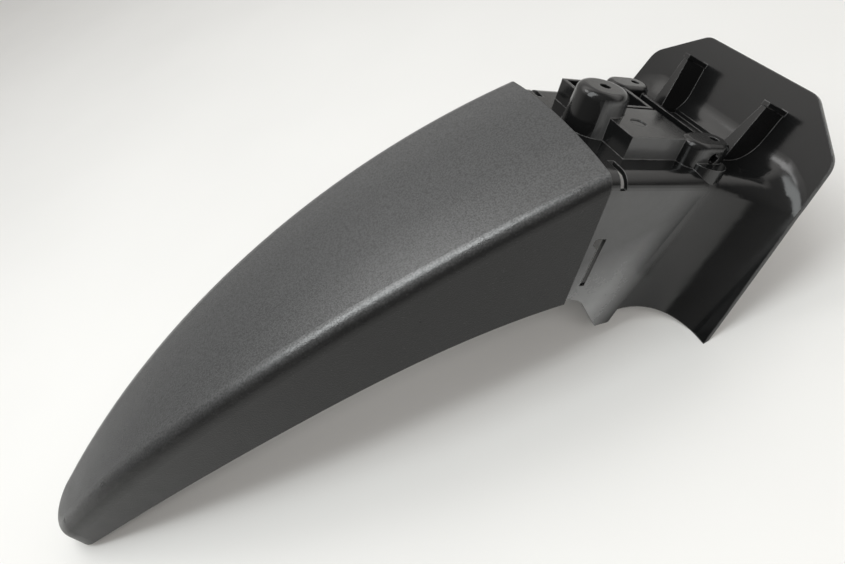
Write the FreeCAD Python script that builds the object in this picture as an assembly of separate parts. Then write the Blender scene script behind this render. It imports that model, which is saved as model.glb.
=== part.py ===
"""Scooter front fender: one plastic moulding, lying on its tip and the two feet of its end plate.

Millimetres, +Z up. X runs from the tip (-X) to the end plate (+X), and the XZ plane is the mid-plane.
"""
import FreeCAD
import Part
import math
import os

Vec = FreeCAD.Vector

# Blade: the long grained cover with an arched top and curved sides
blade_reach = 338.0        # tip to the crest, where the blade is highest and widest
blade_half = 56.3          # half width at the crest
nose_radius = 19.6         # round tip in plan; the sides bow from it to the crest
crest_height = 122.0       # top of the blade above the floor
arch_radius = 621.0        # radius of the top line in side view
crown_radius = 420.0       # radius of the top across the blade
edge_round_tip = 13.0      # rounded edge between top and sides, around the tip
edge_round_end = 7.0       # the same edge where the blade ends
wall = 2.5                 # thickness of the moulding
side_draft = 1.5           # degrees the sides spread downwards

# Seam: where the blade ends and the smooth neck starts
seam_back = 32.0           # from the crest back to the top of the seam
seam_lean = 30.5           # degrees the seam leans from upright
seam_drop = 4.7            # step down from the blade's top to the neck's top
seam_step = 3.3            # step in from the blade's sides to the neck's sides

# Neck: straight channel from the seam to the end plate
neck_slope = 32.0          # degrees the neck drops towards the plate
neck_round = 10.0          # rounded top edges
flare_length = 40.0        # sweep from the neck's sides into the plate: along the neck
flare_width = 28.0         # and across
root_radius = 17.0         # sweep from the neck's top into the plate

# End plate
plate_foot_back = 25.6     # from the top of the seam back to where the plate meets the floor
plate_lean = 47.4          # degrees the plate leans from upright
plate_height = 132.0       # along the plate, from the feet to the top edge
plate_top_half = 41.0      # half length of the straight top edge
plate_chamfer = 22.0       # drop of the slanted corners along the plate
plate_side_half = 72.6     # half width below the slanted corners
plate_foot_half = 87.8     # half width at the feet
plate_corner = 12.0        # rounding of the plate's outline

# Lower edge of the sides in side view: heights above the floor
edge_start = 1.0           # the tip lies flat on the floor for this length
edge_first_share = 0.293   # places along the blade, as shares of its reach
edge_first_z = 35.5
edge_second_share = 0.527
edge_second_z = 54.3
edge_third_share = 0.778
edge_third_z = 62.4
seam_low_z = 53.0          # blade's lower corner at the seam
notch_ahead = 26.0         # places ahead of the top of the seam
notch_z = 41.5
notch_round = 14.0
tab_front_ahead = 21.0
tab_front_z = 13.0
tab_back_ahead = 12.5
tab_back_z = 10.5
tab_round = 2.0
tab_side_ahead = 5.5
tab_side_z = 18.0
arch_mid_back = 13.0       # place behind the top of the seam
arch_mid_z = 10.5

# Pedestal and bosses on the neck; places are measured along the neck from the seam
pedestal_start = 20.0
pedestal_end = 60.0
pedestal_half = 34.4
pedestal_height = 12.0
mark_place = 35.5          # round ejector mark on the pedestal
mark_side = 18.0
mark_radius = 4.2
mark_depth = 0.5
post_place = 21.5          # round post on the mid-plane
post_foot = 15.4           # radius at its foot
post_radius = 13.8         # radius at its top
post_height = 22.5
post_round = 4.5
post_hole = 3.0            # radius
boss_place = 72.0          # pair of long bosses
boss_side = 35.0           # from the mid-plane
boss_radius = 9.0
boss_height = 13.0
boss_length = 9.0          # between the centres of its two round ends
boss_round = 3.0
boss_hole = 2.5            # radius
boss_window = 3.0          # radius of the opening in its outer side
lobe_place = 68.0          # low round swelling outside each boss
lobe_side = 42.0
lobe_radius = 9.3
lobe_height = 3.5
rib_place = 73.0           # rib between the two bosses
rib_height = 10.0
rib_thick = 2.0
trench_end = 102.8         # flat trench between the rib and the plate's root

# Gussets between the neck's top and the plate: hollow wedges, open from below
gusset_side = 33.0         # outer face, from the mid-plane
gusset_foot = 8.0          # width where it stands on the neck
gusset_head = 2.5          # width at its top
gusset_wall = 1.8
gusset_depth = 17.5        # from the plate
gusset_taper = 1.0         # how much less deep it is at its top
gusset_top = 13.5          # below the plate's top edge
gusset_cap = 2.5           # height of the small cap on its top
gusset_brim = 0.8          # how far the cap stands out

# Slots beside the seam
slot_place = 11.5          # along the neck from the seam
slot_width = 3.0
slot_length = 31.0
slot_drop = 35.0           # upper end below the neck's top
slot_hook = 3.5            # small flag at its upper end
corner_slot_place = 9.0
corner_slot_width = 4.0
corner_slot_reach = 17.0   # from the neck's side towards the mid-plane
corner_slot_depth = 7.0    # below the neck's top


def turned(shape, degrees, x, z):
    """Turn a shape about the Y line through the origin, then carry it to (x, z)."""
    copy = shape.copy()
    copy.rotate(Vec(0, 0, 0), Vec(0, 1, 0), degrees)
    copy.translate(Vec(x, 0, z))
    return copy


def arc(start, middle, end):
    """Edge of a circle through three points."""
    return Part.Arc(start, middle, end).toShape()


def prism(edges, direction):
    """Solid swept from a closed chain of edges."""
    return Part.Face(Part.Wire(edges)).extrude(direction)


def chain(points):
    """Straight edges joining the points and closing back to the first."""
    return [Part.makeLine(a, b) for a, b in zip(points, points[1:] + points[:1])]


def soft_chain(points, radii):
    """Straight edges through the points, with the inner corners rounded."""
    edges = []
    last = points[0]
    for before, corner, after, radius in zip(points, points[1:], points[2:], radii):
        back = (before - corner).normalize()
        ahead = (after - corner).normalize()
        turn = back.getAngle(ahead) / 2
        start = corner + back * (radius / math.tan(turn))
        end = corner + ahead * (radius / math.tan(turn))
        middle = corner + (back + ahead).normalize() * (radius / math.sin(turn) - radius)
        edges += [Part.makeLine(last, start), arc(start, middle, end)]
        last = end
    return edges + [Part.makeLine(last, points[-1])]


def block(x0, x1, y0, y1, z0, z1):
    """Box given by its limits."""
    return Part.makeBox(x1 - x0, y1 - y0, z1 - z0, Vec(x0, y0, z0))


def both_sides(shape):
    """The shape together with its mirror image in the mid-plane."""
    return [shape, shape.mirror(Vec(0, 0, 0), Vec(0, 1, 0))]


# Blade
seam_x = blade_reach + seam_back
plate_foot_x = seam_x + plate_foot_back
end_x = seam_x + 40.0
arch_centre = Vec(blade_reach, 0, crest_height - arch_radius)
bow_rise = blade_half ** 2 + blade_reach ** 2 - 2 * blade_reach * nose_radius
side_bow = bow_rise / (2 * (blade_half - nose_radius))
bow_y = blade_half - side_bow


def plan_outline(offset, z):
    """Plan of the blade, grown by offset: two bowed sides joined by a round tip."""
    bow = side_bow + offset
    nose = nose_radius + offset
    turn = math.atan2(-bow_y, blade_reach - nose_radius)
    touch = Vec(nose_radius - nose * math.cos(turn), nose * math.sin(turn), z)

    def side(x):
        return Vec(x, bow_y + math.sqrt(bow ** 2 - (x - blade_reach) ** 2), z)

    left = [touch, side((touch.x + end_x) / 2), side(end_x)]
    right = [Vec(p.x, -p.y, z) for p in left]
    edges = [arc(*left), Part.makeLine(left[2], right[2]), arc(*reversed(right))]
    edges.append(arc(right[0], Vec(nose_radius - nose, 0, z), left[0]))
    return Part.Wire(edges)


def on_blade_top(edge, inset):
    """True where the edge lies on the blade's top surface and not at the far end."""
    crown = crown_radius - inset
    for p in edge.discretize(9):
        rise = math.hypot(p.x - blade_reach, p.z - arch_centre.z)
        fall = crown - math.sqrt(crown ** 2 - p.y ** 2)
        if abs(rise - (arch_radius - inset - fall)) > 0.05:
            return False
    return abs(edge.CenterOfMass.x - end_x) > 1.0


def fading_round(body, inset):
    """Body with its top edges rounded, most around the tip and least at the far end."""
    page = FreeCAD.newDocument("blade")
    base = page.addObject("Part::Feature", "base")
    base.Shape = body
    fillet = page.addObject("Part::Fillet", "fillet")
    fillet.Base = base
    sizes = []
    for number, edge in enumerate(body.Edges, 1):
        if on_blade_top(edge, inset):
            ends = [edge.firstVertex().Point.x, edge.lastVertex().Point.x]
            shares = [min(1.0, max(0.0, (x - nose_radius) / (end_x - nose_radius))) for x in ends]
            radii = [edge_round_tip + share * (edge_round_end - edge_round_tip) - inset for share in shares]
            sizes.append((number, radii[0], radii[1]))
    fillet.Edges = sizes
    page.recompute()
    result = fillet.Shape.copy()
    FreeCAD.closeDocument(page.Name)
    return result


def blade_block(inset):
    """Solid inside the blade's outer surface, drawn in by inset."""
    top = crest_height - inset
    crown = crown_radius - inset
    wide = blade_half + 40.0
    brim = top - crown + math.sqrt(crown ** 2 - wide ** 2)
    low = crest_height - 260.0
    corners = [Vec(blade_reach, wide, brim), Vec(blade_reach, wide, low)]
    corners += [Vec(p.x, -p.y, p.z) for p in reversed(corners)]
    section = [arc(corners[3], Vec(blade_reach, 0, top), corners[0])]
    section += [Part.makeLine(a, b) for a, b in zip(corners, corners[1:])]
    face = Part.Face(Part.Wire(section))
    face.rotate(arch_centre, Vec(0, 1, 0), -50.0)
    sector = face.revolve(arch_centre, Vec(0, 1, 0), 62.0)
    spread = math.tan(math.radians(side_draft))
    lift = 60.0
    upper = plan_outline(-inset - lift * spread, crest_height + lift)
    lower = plan_outline(-inset + (crest_height + lift) * spread, -lift)
    column = Part.makeLoft([upper, lower], True, True)
    body = sector.common(column).Solids[0]
    return fading_round(body, inset)


# Neck and end plate, drawn with the neck's top along X and the seam at the origin
neck_half = blade_half - seam_step
arch_fall = arch_radius - math.sqrt(arch_radius ** 2 - (seam_x - blade_reach) ** 2)
neck_top = crest_height - arch_fall - seam_drop
slope = math.radians(neck_slope)
plate_turn = math.radians(plate_lean) - slope
plate_up = Vec(math.sin(plate_turn), 0, math.cos(plate_turn))
plate_out = Vec(plate_up.z, 0, -plate_up.x)
foot_dx = plate_foot_x - seam_x
foot_x = foot_dx * math.cos(slope) + neck_top * math.sin(slope)
foot_z = foot_dx * math.sin(slope) - neck_top * math.cos(slope)
foot = Vec(foot_x, 0, foot_z)
root_up = -foot_z / plate_up.z


def on_plate(out, side, up):
    """Point given by its distance from the plate, from the mid-plane and from the feet."""
    return foot + plate_out * out + Vec(0, side, 0) + plate_up * up


def neck_block(inset):
    """Solid inside the outer surface of the neck, its flare and the plate, drawn in by inset."""
    half = neck_half - inset
    long = flare_length + inset
    wide = flare_width + inset
    bend = math.radians(75.0)
    deep = -120.0

    def flare_point(turn):
        out = long * math.sin(turn) - flare_length
        return on_plate(out, neck_half + flare_width - wide * math.cos(turn), deep)

    leave = plate_out * (long * math.cos(bend)) + Vec(0, wide * math.sin(bend), 0)
    outer = flare_point(bend) + leave * (60.0 / leave.Length)
    side = [on_plate(-160.0, half, deep), flare_point(0.0), flare_point(bend), outer]
    side.append(on_plate(60.0, outer.y, deep))
    other = [Vec(p.x, -p.y, p.z) for p in reversed(side)]
    edges = chain(side + other)
    sweep = Part.BSplineCurve()
    steps = [flare_point(bend * step / 8) for step in range(9)]
    sweep.interpolate(steps, InitialTangent=plate_out * 40.0, FinalTangent=leave)
    edges[1] = sweep.toShape()
    edges[7] = edges[1].mirror(Vec(0, 0, 0), Vec(0, 1, 0))
    trumpet = prism(edges, plate_up * 400.0)
    body = trumpet.common(block(-500.0, 500.0, -300.0, 300.0, -500.0, -inset)).Solids[0]
    rim = []
    for edge in body.Edges:
        points = edge.discretize(5)
        on_top = max(abs(p.z + inset) for p in points) < 0.01
        before_plate = (points[2] - foot).dot(plate_out) < inset
        if on_top and before_plate and abs(points[2].y) > half - 0.01:
            rim.append(edge)
    body = body.makeFillet(neck_round - inset, rim)
    corners = [on_plate(inset, -140.0, -60.0), on_plate(inset, 140.0, -60.0)]
    corners += [on_plate(inset, 140.0, 220.0), on_plate(inset, -140.0, 220.0)]
    body = body.fuse(prism(chain(corners), plate_out * (60.0 + 20.0 * inset))).removeSplitter().Solids[0]
    root = []
    for edge in body.Edges:
        points = edge.discretize(5)
        on_face = max(abs((p - foot).dot(plate_out) - inset) for p in points) < 0.01
        if on_face and abs(points[2].z + inset) < 0.01:
            root.append(edge)
    return body.makeFillet(root_radius + inset, root)


def plate_outline():
    """Column with the outline of the end plate, reaching well in front of it and behind it."""
    shoulder = plate_height - plate_chamfer
    spread = (plate_foot_half - plate_side_half) / shoulder
    low = -120.0
    half = [on_plate(-200.0, plate_foot_half - low * spread, low)]
    half.append(on_plate(-200.0, plate_side_half, shoulder))
    half.append(on_plate(-200.0, plate_top_half, plate_height))
    loop = half + [Vec(p.x, -p.y, p.z) for p in reversed(half)]
    column = prism(chain(loop), plate_out * 300.0)
    upright = []
    for edge in column.Edges:
        way = edge.Vertexes[1].Point - edge.Vertexes[0].Point
        high = (edge.CenterOfMass - foot).dot(plate_up) > 0
        if high and abs(abs(way.normalize().dot(plate_out)) - 1.0) < 1e-6:
            upright.append(edge)
    return column.makeFillet(plate_corner, upright)


def rounded(shape, height, radius):
    """Shape with the edges of its flat top at this height rounded."""
    rim = [edge for edge in shape.Edges if min(p.z for p in edge.discretize(5)) > height - 0.01]
    return shape.makeFillet(radius, rim)


def long_boss(radius, base, height):
    """Upright column with two round ends, at the place of the long boss on the +Y side."""
    ends = (boss_place - boss_length, boss_place)
    parts = [Part.makeCylinder(radius, height - base, Vec(x, boss_side, base)) for x in ends]
    between = block(ends[0], ends[1], boss_side - radius, boss_side + radius, base, height)
    return between.multiFuse(parts).removeSplitter()


sunk = -wall / 2
under = -9.0

# Pedestal: a hollow platform on one side of the post, an open box on the other
platform = block(pedestal_start, pedestal_end, -pedestal_half, -1.0, sunk, pedestal_height)
platform_hollow = block(pedestal_start + wall, pedestal_end - wall, wall - pedestal_half, -1.0 - wall,
                        under, pedestal_height - wall)
mark = Part.makeCylinder(mark_radius, 5.0, Vec(mark_place, -mark_side, pedestal_height - mark_depth))
open_box = block(pedestal_start, pedestal_end, 1.0, pedestal_half, sunk, pedestal_height)
open_box = open_box.cut(block(pedestal_start + rib_thick, pedestal_end - rib_thick, 1.0 + rib_thick,
                              pedestal_half - rib_thick, 0.0, 2 * pedestal_height))

# Post, long bosses with their lobes, and the rib
post = Part.makeCone(post_foot, post_radius, post_height - sunk, Vec(post_place, 0, sunk))
post = rounded(post, post_height, post_round)
post_core = Part.makeCone(post_foot - wall, post_radius - wall, post_height - wall - under,
                          Vec(post_place, 0, under))
post_bore = Part.makeCylinder(post_hole, 60.0, Vec(post_place, 0, 0))
boss = rounded(long_boss(boss_radius, sunk, boss_height), boss_height, boss_round)
boss_core = long_boss(boss_radius - wall, under, boss_height - wall)
boss_bore = Part.makeCylinder(boss_hole, 60.0, Vec(boss_place, boss_side, 0))
window = Part.makeCylinder(boss_window, 20.0, Vec(lobe_place, boss_side, boss_height / 2), Vec(0, 1, 0))
lobe = Part.makeCylinder(lobe_radius, lobe_height + neck_round, Vec(lobe_place, lobe_side, -neck_round))
lobe_core = Part.makeCylinder(lobe_radius - wall, lobe_height - wall + neck_round,
                              Vec(lobe_place, lobe_side, -neck_round))
rib = block(rib_place - rib_thick / 2, rib_place + rib_thick / 2, -boss_side, boss_side, sunk, rib_height)

# Trench: its floor runs on under the sweep into the plate
trench_half = gusset_side - gusset_foot
trench_floor = block(rib_place, trench_end + wall, -trench_half, trench_half, -wall, wall)
trench = block(rib_place, trench_end, -trench_half, trench_half, 0.0, 2 * root_radius)

# Gussets
crown_up = plate_height - gusset_top
gusset_low = root_up - 16.0


def wedge(inset, back, low, high):
    """Gusset on the +Y side between two heights along the plate, drawn in by inset."""
    rings = []
    for up in (low, high):
        share = (up - root_up) / (crown_up - root_up)
        width = gusset_foot + share * (gusset_head - gusset_foot)
        front = inset - gusset_depth + share * gusset_taper
        near = gusset_side - width + inset
        far = gusset_side - inset
        corners = [on_plate(back, near, up), on_plate(front, near, up)]
        corners += [on_plate(front, far, up), on_plate(back, far, up)]
        rings.append(Part.Wire(chain(corners)))
    return Part.makeLoft(rings, True, True)


hollow_share = (gusset_foot - 2 * gusset_wall - 1.0) / (gusset_foot - gusset_head)
hollow_up = root_up + hollow_share * (crown_up - root_up)
gusset = wedge(0.0, wall / 2, gusset_low, crown_up)
gusset_core = wedge(gusset_wall, 0.0, gusset_low - 20.0, hollow_up)
cap_near = gusset_side - gusset_head - gusset_brim
cap_front = gusset_taper - gusset_depth - gusset_brim
cap_up = crown_up - gusset_cap
cap = [on_plate(wall / 2, cap_near, cap_up), on_plate(cap_front, cap_near, cap_up)]
cap += [on_plate(cap_front, cap_near, crown_up), on_plate(wall / 2, cap_near, crown_up)]
gusset = gusset.fuse(prism(chain(cap), Vec(0, gusset_head + 2 * gusset_brim, 0)))

# Slots
inside = neck_half - 8.0
slot_low = -slot_drop - slot_length
side_slot = block(slot_place, slot_place + slot_width, inside, inside + 16.0, slot_low, -slot_drop)
flag_x = slot_place - slot_hook
flag = [Vec(slot_place + slot_width, inside, -slot_drop), Vec(flag_x, inside, -slot_drop)]
flag += [Vec(flag_x, inside, -slot_drop - slot_hook), Vec(slot_place, inside, -slot_drop - 2 * slot_hook)]
side_slot = side_slot.fuse(prism(chain(flag), Vec(0, 16.0, 0)))
corner_slot = block(corner_slot_place, corner_slot_place + corner_slot_width,
                    neck_half - corner_slot_reach, neck_half + 8.0, -corner_slot_depth, 8.0)

# Neck with everything on it
neck_outer = neck_block(0.0)
neck_inner = neck_block(wall)
neck = neck_outer.cut(neck_inner).common(plate_outline())
neck = neck.multiFuse([platform, open_box, trench_floor] + both_sides(lobe.cut(neck_inner)))
neck = neck.cut(Part.makeCompound([platform_hollow, mark, trench] + both_sides(lobe_core)))
neck = neck.multiFuse([post, rib] + both_sides(boss) + both_sides(gusset.cut(neck_inner)))
cuts = [post_core, post_bore]
for tool in (boss_core, boss_bore, window, gusset_core, side_slot, corner_slot):
    cuts += both_sides(tool)
neck = neck.cut(Part.makeCompound(cuts))

# Joining at the seam, where a web closes the step
tip_side = turned(block(-700.0, 0.0, -200.0, 200.0, -400.0, 300.0), seam_lean, seam_x, neck_top)
plate_side = turned(block(-wall, 700.0, -200.0, 200.0, -400.0, 300.0), seam_lean, seam_x, neck_top)
web_slab = turned(block(-wall, 0.0, -200.0, 200.0, -400.0, 300.0), seam_lean, seam_x, neck_top)
neck = turned(neck, neck_slope, seam_x, neck_top).common(plate_side)
inner_way = turned(neck_inner, neck_slope, seam_x, neck_top)
blade_outer = blade_block(0.0)
blade = blade_outer.cut(blade_block(wall)).common(tip_side)
web = blade_outer.common(web_slab).cut(inner_way)
whole = blade.multiFuse([web, neck])

# Lower edge
side_y = -200.0
seam_low_x = seam_x - (neck_top - seam_low_z) * math.tan(math.radians(seam_lean))
start = Vec(edge_start, side_y, 0.0)
bow = [start, Vec(edge_first_share * blade_reach, side_y, edge_first_z)]
bow.append(Vec(edge_second_share * blade_reach, side_y, edge_second_z))
bow.append(Vec(edge_third_share * blade_reach, side_y, edge_third_z))
bow.append(Vec(seam_low_x, side_y, seam_low_z))
tab = [bow[-1], Vec(seam_x - notch_ahead, side_y, notch_z)]
tab.append(Vec(seam_x - tab_front_ahead, side_y, tab_front_z))
tab.append(Vec(seam_x - tab_back_ahead, side_y, tab_back_z))
tab.append(Vec(seam_x - tab_side_ahead, side_y, tab_side_z))
rest = [Vec(plate_foot_x, side_y, 0.0), Vec(900.0, side_y, 0.0), Vec(900.0, side_y, -300.0)]
rest += [Vec(-200.0, side_y, -300.0), Vec(-200.0, side_y, 0.0), start]
curve = Part.BSplineCurve()
curve.interpolate(bow)
edges = [curve.toShape()]
edges += soft_chain(tab, [notch_round, tab_round, tab_round])
edges.append(arc(tab[-1], Vec(seam_x + arch_mid_back, side_y, arch_mid_z), rest[0]))
edges += [Part.makeLine(a, b) for a, b in zip(rest, rest[1:])]
whole = whole.cut(prism(edges, Vec(0, 400.0, 0))).removeSplitter()

# Middle of the floor box at the origin
box = whole.optimalBoundingBox(False)
whole.translate(Vec(-(box.XMin + box.XMax) / 2, 0, -box.ZMin))
os.makedirs("parts", exist_ok=True)
whole.exportStep("parts/fender.step")
print("valid", whole.isValid(), "solids", len(whole.Solids), "volume", round(whole.Volume), box)
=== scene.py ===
"""Looks of the scooter front fender.

Grained blade, satin neck and end plate, pale floor, a soft room and three lamps.
Lengths are in metres, in the frame of the CAD.
"""

import math

import bpy
from mathutils import Matrix, Vector

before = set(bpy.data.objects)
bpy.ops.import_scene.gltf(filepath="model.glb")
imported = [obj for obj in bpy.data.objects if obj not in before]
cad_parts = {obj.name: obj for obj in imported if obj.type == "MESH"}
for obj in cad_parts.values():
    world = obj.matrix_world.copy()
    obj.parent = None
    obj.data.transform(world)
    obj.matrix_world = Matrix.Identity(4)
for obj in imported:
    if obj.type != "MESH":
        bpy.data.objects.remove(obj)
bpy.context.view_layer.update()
scene = bpy.context.scene
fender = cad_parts["fender"]

# Seam between blade and neck, as in the part's source
SEAM = Vector((0.124369, 0.0, 0.116475))
SEAM_LEAN = math.radians(30.5)
ALONG = Vector((math.cos(SEAM_LEAN), 0.0, -math.sin(SEAM_LEAN)))
SEAM_SLACK = 0.0002

# End plate: where its plane meets the floor, and its lean from upright
PLATE_FOOT = 0.14997
PLATE_LEAN = math.radians(47.4)

# Tints of the greys, and rays of each bevel node
COOL = -0.02
COOLER = -0.03
BEVEL_SAMPLES = 6

# Blade: greys, among them a dust grey on top that also paints in the sheen, roughness, gloss and grain,
# and how the rubbed ridge differs
BLADE_DARK = 0.007
BLADE_LIGHT = 0.011
BLADE_SPECK = 0.07
BLADE_DUST_AND_SHEEN = 0.066
BLADE_WORN = 0.16
BLADE_ROUGH = (0.32, 0.42)
BLADE_GLOSS = 0.4
BLADE_EDGE = 0.0006
BLADE_WEAR = 0.0009
GRAIN_STRENGTH = 0.55
GRAIN_DEPTH = 0.00024
RIDGE_GLOSS = 0.95
RIDGE_ROUGH = -0.08
RIDGE_GRAIN = 0.5

# Small chip and pit in the blade: place and radius, then their grey, depth in grains and ragged outline
CHIPS = (
    ((-0.2330, -0.0140, 0.0290), 0.0016),
    ((0.0160, -0.0550, 0.0910), 0.0008))
CHIP_GREY = 0.006
CHIP_DEPTH = -3.0
CHIP_RAGGED = 0.0012
CHIP_CORE = 0.6

# Neck: greys, roughness and flow marks, and the pale haze near the seam, which also paints in a
# reflection of the floor
NECK_DARK = 0.006
NECK_LIGHT = 0.010
NECK_HAZE_AND_REFLECTION = 0.38
NECK_WORN = 0.22
NECK_ROUGH = (0.11, 0.22)
NECK_EDGE = 0.0007
NECK_WEAR = 0.0010
FLOW_STRENGTH = 0.10
FLOW_DEPTH = 0.0006
HAZE_ROUGH = 0.22
HAZE_AND_REFLECTION_FULL = -0.054
HAZE_AND_REFLECTION_END = -0.034

# Floor and room
FLOOR_SIZE = 60.0
FLOOR_DARK = (0.80, 0.80, 0.79, 1.0)
FLOOR_LIGHT = (0.84, 0.84, 0.83, 1.0)
FLOOR_ROUGH = 0.75
ROOM_COLOUR = (1.0, 0.975, 0.945, 1.0)
SIDE_LEVEL = 0.9

# Lamps
WHITE = (1.0, 1.0, 1.0)
COOL_LIGHT = (0.965, 1.0, 1.0)
WARM_LIGHT = (1.0, 0.965, 0.92)

# Camera: place, the image's right and down, and focal length and image width in pixels
EYE = (0.024397, -0.243604, 0.314602)
IMAGE_RIGHT = Vector((0.88941, -0.33488, -0.31114))
IMAGE_DOWN = Vector((-0.45709, -0.64498, -0.61243))
FOCAL_PIXELS = 600.0
IMAGE_WIDTH = 845.0
SENSOR_WIDTH = 36.0
CLIP_START = 0.01


class Nodes:
    """Small helper that adds nodes and links to one node tree."""

    def __init__(self, tree):
        self.tree = tree
        tree.nodes.clear()

    def add(self, kind, links=None, **settings):
        node = self.tree.nodes.new(kind)
        for name, value in settings.items():
            setattr(node, name, value)
        for name, value in (links or {}).items():
            self.put(node, name, value)
        return node

    def put(self, node, name, value):
        socket = node.inputs[name]
        if isinstance(value, bpy.types.NodeSocket):
            self.tree.links.new(value, socket)
        else:
            socket.default_value = value

    def math(self, kind, a, b=0.0, c=0.0):
        return self.add("ShaderNodeMath", {0: a, 1: b, 2: c}, operation=kind).outputs[0]

    def product(self, a, b):
        return self.math("MULTIPLY", a, b)

    def total(self, a, a_share, b, b_share):
        """Two values added by their shares."""
        return self.math("ADD", self.product(a, a_share), self.product(b, b_share))

    def vector(self, kind, links, output="Vector"):
        return self.add("ShaderNodeVectorMath", links, operation=kind).outputs[output]

    def axes(self, vector):
        return self.add("ShaderNodeSeparateXYZ", {"Vector": vector}).outputs

    def place(self):
        """Where a point lies on the object."""
        return self.add("ShaderNodeTexCoord").outputs["Object"]

    def normal(self, kind):
        return self.add("ShaderNodeNewGeometry").outputs[kind]

    def rounded(self, radius):
        """Normal softened over the edges."""
        return self.add("ShaderNodeBevel", {"Radius": radius}, samples=BEVEL_SAMPLES).outputs["Normal"]

    def span(self, value, low, high, to_low=0.0, to_high=1.0):
        """Value from one range to another, held at its ends."""
        links = {"Value": value, "From Min": low, "From Max": high, "To Min": to_low, "To Max": to_high}
        return self.add("ShaderNodeMapRange", links, clamp=True).outputs["Result"]

    def mix(self, factor, a, b):
        node = self.add("ShaderNodeMix", data_type="RGBA")
        self.put(node, 0, factor)
        self.put(node, 6, a)
        self.put(node, 7, b)
        return node.outputs[2]

    def noise(self, place, scale, detail=2.0, roughness=0.5, output="Fac"):
        links = {"Vector": place, "Scale": scale, "Detail": detail, "Roughness": roughness}
        return self.add("ShaderNodeTexNoise", links).outputs[output]

    def cells(self, place, scale):
        return self.add("ShaderNodeTexVoronoi", {"Vector": place, "Scale": scale}).outputs["Distance"]

    def near(self, place, point, radius):
        """1 at a point and 0 from a radius on."""
        away = self.vector("DISTANCE", {0: place, 1: point}, "Value")
        return self.span(away, CHIP_CORE * radius, radius, 1.0, 0.0)

    def edges(self, radius):
        """1 along the edges and 0 on open faces."""
        links = {0: self.rounded(radius), 1: self.normal("True Normal")}
        return self.span(self.vector("DOT_PRODUCT", links, "Value"), 0.985, 0.8)

    def bump(self, height, strength, depth, edge):
        """Relief on top of softened edges."""
        links = {"Strength": strength, "Distance": depth, "Height": height, "Normal": self.rounded(edge)}
        return self.add("ShaderNodeBump", links).outputs["Normal"]

    def surface(self, links):
        """Shader of a material, joined to its output."""
        shader = self.add("ShaderNodeBsdfPrincipled", links).outputs["BSDF"]
        self.add("ShaderNodeOutputMaterial", {"Surface": shader})


def new_material(name):
    """Empty node material and the helper that fills it."""
    material = bpy.data.materials.new(name)
    material.use_nodes = True
    return material, Nodes(material.node_tree)


def grey(value, warm=0.0):
    """Neutral colour, a little cool or warm."""
    return (value * (1.0 + warm), value, value * (1.0 - warm), 1.0)


def blade_material():
    """Dark grey plastic with a fine moulded grain, dust and a painted sheen on top, and a rubbed,
    smoother ridge.
    """
    material, n = new_material("blade_grain")
    place = n.place()
    broad = n.noise(place, 9.0, 3.0)
    cloud = n.noise(place, 55.0, 4.0, 0.6)
    speck = n.noise(place, 1000.0, 1.0)
    grain = n.cells(place, 1250.0)
    fine = n.noise(place, 1900.0, 2.0, 0.6)

    # Uneven base colour with pale specks
    tone = n.total(broad, 0.5, cloud, 0.5)
    colour = n.mix(n.span(tone, 0.35, 0.65), grey(BLADE_DARK, COOLER), grey(BLADE_LIGHT, COOL))
    colour = n.mix(n.span(speck, 0.66, 0.78, 0.0, 0.35), colour, grey(BLADE_SPECK))

    # Dust and a painted sheen lighten where the surface faces up, and the ridge is where it turns over
    # to the sides
    facing = n.axes(n.normal("Normal"))
    dust_and_sheen = n.product(n.span(facing["Z"], 0.60, 0.93), n.span(speck, 0.32, 0.68, 0.45, 1.1))
    colour = n.mix(dust_and_sheen, colour, grey(BLADE_DUST_AND_SHEEN, COOLER))
    ridge = n.span(n.math("ABSOLUTE", facing["Y"]), 0.04, 0.28)
    ridge = n.product(ridge, n.span(facing["Z"], 0.45, 0.80))
    ridge = n.product(ridge, n.span(speck, 0.32, 0.68, 0.70, 1.15))

    # Worn edges, roughness and grain
    worn = n.product(n.edges(BLADE_WEAR), n.span(cloud, 0.42, 0.62))
    colour = n.mix(n.product(worn, 0.5), colour, grey(BLADE_WORN))
    rough = n.span(n.math("ADD", cloud, n.product(speck, 0.5)), 0.5, 1.0, *BLADE_ROUGH)
    rough = n.math("MULTIPLY_ADD", ridge, RIDGE_ROUGH, rough)
    height = n.total(grain, 0.7, fine, 0.5)
    height = n.product(height, n.span(ridge, 0.0, 1.0, 1.0, RIDGE_GRAIN))

    # Chip and pit, with a ragged outline
    ragged = n.noise(place, 800.0, output="Color")
    ragged = n.vector("SUBTRACT", {0: ragged, 1: (0.5, 0.5, 0.5)})
    ragged = n.vector("SCALE", {0: ragged, "Scale": CHIP_RAGGED})
    shaken = n.vector("ADD", {0: place, 1: ragged})
    for point, radius in CHIPS:
        chip = n.near(shaken, point, radius)
        colour = n.mix(chip, colour, grey(CHIP_GREY))
        height = n.math("MULTIPLY_ADD", chip, CHIP_DEPTH, height)

    n.surface({
        "Base Color": colour,
        "Roughness": rough,
        "Specular IOR Level": n.math("MULTIPLY_ADD", ridge, RIDGE_GLOSS, BLADE_GLOSS),
        "Normal": n.bump(height, GRAIN_STRENGTH, GRAIN_DEPTH, BLADE_EDGE)})
    return material


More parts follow.
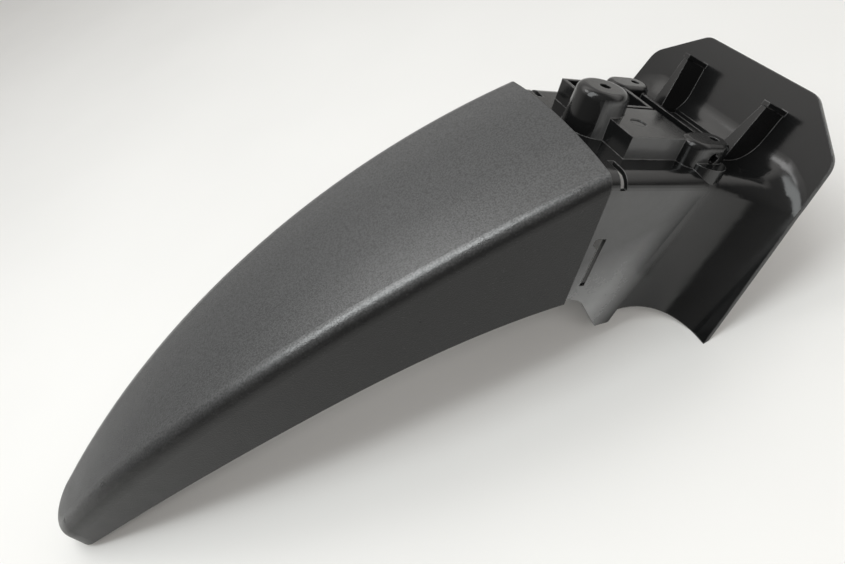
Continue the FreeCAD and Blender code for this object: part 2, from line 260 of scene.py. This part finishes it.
def neck_material():
    """Satin black plastic with faint flow marks, hazy near the seam with a painted reflection of the
    floor there, and rubbed pale along its edges.
    """
    material, n = new_material("neck_satin")
    place = n.place()
    broad = n.noise(place, 14.0, 3.0)
    smear = n.noise(place, 90.0, 4.0, 0.65)
    fine = n.noise(place, 900.0, 2.0)
    colour = n.mix(n.span(broad, 0.35, 0.65), grey(NECK_DARK, COOLER), grey(NECK_LIGHT, COOL))

    # Haze and a painted reflection of the floor on the outer sides, by the distance from the end plate's
    # plane, stronger low down
    where = n.axes(place)
    lean_cos, lean_sin = math.cos(PLATE_LEAN), math.sin(PLATE_LEAN)
    ahead = n.math("MULTIPLY_ADD", where["X"], lean_cos, -PLATE_FOOT * lean_cos)
    ahead = n.math("MULTIPLY_ADD", where["Z"], -lean_sin, ahead)
    facing = n.axes(n.normal("True Normal"))
    outward = n.product(facing["Y"], n.math("SIGN", where["Y"]))
    haze_and_reflection = n.product(n.span(ahead, HAZE_AND_REFLECTION_FULL, HAZE_AND_REFLECTION_END, 1.0, 0.0), n.span(outward, 0.80, 0.97))
    haze_and_reflection = n.product(haze_and_reflection, n.span(smear, 0.25, 0.60, 0.85, 1.0))
    haze_and_reflection = n.product(haze_and_reflection, n.span(where["Z"], 0.02, 0.07, 1.0, 0.22))
    colour = n.mix(haze_and_reflection, colour, grey(NECK_HAZE_AND_REFLECTION, COOL))

    # Worn edges, roughness and flow marks
    worn = n.product(n.edges(NECK_WEAR), n.span(smear, 0.36, 0.58))
    colour = n.mix(n.product(worn, 0.6), colour, grey(NECK_WORN))
    rough = n.span(n.math("ADD", smear, n.product(fine, 0.4)), 0.4, 1.0, *NECK_ROUGH)
    rough = n.math("MULTIPLY_ADD", haze_and_reflection, HAZE_ROUGH, rough)
    height = n.math("ADD", broad, n.product(fine, 0.06))

    n.surface({
        "Base Color": colour,
        "Roughness": rough,
        "Normal": n.bump(height, FLOW_STRENGTH, FLOW_DEPTH, NECK_EDGE)})
    return material


def dress_fender():
    """Grain on the blade's side of the seam, satin on the rest."""
    mesh = fender.data
    mesh.materials.clear()
    mesh.materials.append(blade_material())
    mesh.materials.append(neck_material())
    for face in mesh.polygons:
        face.material_index = 1 if (face.center - SEAM).dot(ALONG) > SEAM_SLACK else 0


def floor():
    """Pale floor, large enough to fill the view from any side."""
    bpy.ops.mesh.primitive_plane_add(size=FLOOR_SIZE, location=(0.0, 0.0, 0.0))
    plane = bpy.context.object
    plane.name = "floor"
    material, n = new_material("floor_pale")
    cloud = n.noise(n.place(), 3.0, 3.0)
    colour = n.mix(n.span(cloud, 0.3, 0.7), FLOOR_DARK, FLOOR_LIGHT)
    n.surface({"Base Color": colour, "Roughness": FLOOR_ROUGH})
    plane.data.materials.append(material)


def sky():
    """Soft room: bright at the back, most of all high up, and on the right, dim elsewhere."""
    world = bpy.data.worlds.new("room")
    scene.world = world
    world.use_nodes = True
    n = Nodes(world.node_tree)
    way = n.axes(n.add("ShaderNodeTexCoord").outputs["Generated"])
    wall = n.product(n.span(way["Y"], 0.20, 0.62), n.span(way["Z"], 0.50, 0.72, 0.45, 1.6))
    right_side = n.product(n.span(way["X"], 0.70, 0.90), n.span(way["Z"], 0.05, 0.25))
    level = n.math("MULTIPLY_ADD", right_side, SIDE_LEVEL, wall)
    level = n.math("ADD", level, n.span(way["Z"], 0.0, 1.0, 0.08, 0.30))
    back = n.add("ShaderNodeBackground", {"Color": ROOM_COLOUR, "Strength": level})
    n.add("ShaderNodeOutputWorld", {"Surface": back.outputs["Background"]})


def lamp(name, place, target, wide, deep, power, colour):
    """Soft rectangular light aimed at a point, deep along the way it leans and wide across it."""
    data = bpy.data.lights.new(name, "AREA")
    data.shape = "RECTANGLE"
    data.size = wide
    data.size_y = deep
    data.energy = power
    data.color = colour
    light = bpy.data.objects.new(name, data)
    scene.collection.objects.link(light)
    light.location = place
    light.rotation_euler = (Vector(target) - Vector(place)).to_track_quat("-Z", "Y").to_euler()
    return light


def lamps():
    """Strip along the part overhead, soft fill in front and a small lamp at the back."""
    lamp("overhead", (-0.28, -0.01, 1.25), (-0.02, 0.0, 0.05), 0.50, 1.35, 8.0, COOL_LIGHT)
    front = lamp("front", (-0.05, -0.95, 1.05), (0.0, -0.05, 0.05), 1.2, 0.6, 6.2, WARM_LIGHT)
    front.visible_glossy = False
    lamp("rear", (-0.21, 0.55, 1.25), (0.10, 0.0, 0.05), 0.45, 0.36, 2.0, WHITE)


def camera():
    """The photograph's view: from above the near side, rolled to the left."""
    data = bpy.data.cameras.new("camera")
    data.sensor_width = SENSOR_WIDTH
    data.lens = SENSOR_WIDTH * FOCAL_PIXELS / IMAGE_WIDTH
    data.clip_start = CLIP_START
    eye = bpy.data.objects.new("camera", data)
    scene.collection.objects.link(eye)
    back = IMAGE_RIGHT.cross(-IMAGE_DOWN)
    turn = Matrix((IMAGE_RIGHT, -IMAGE_DOWN, back)).transposed()
    eye.matrix_world = Matrix.Translation(EYE) @ turn.to_4x4()
    scene.camera = eye


dress_fender()
floor()
sky()
lamps()
camera()
scene.view_settings.view_transform = "Standard"
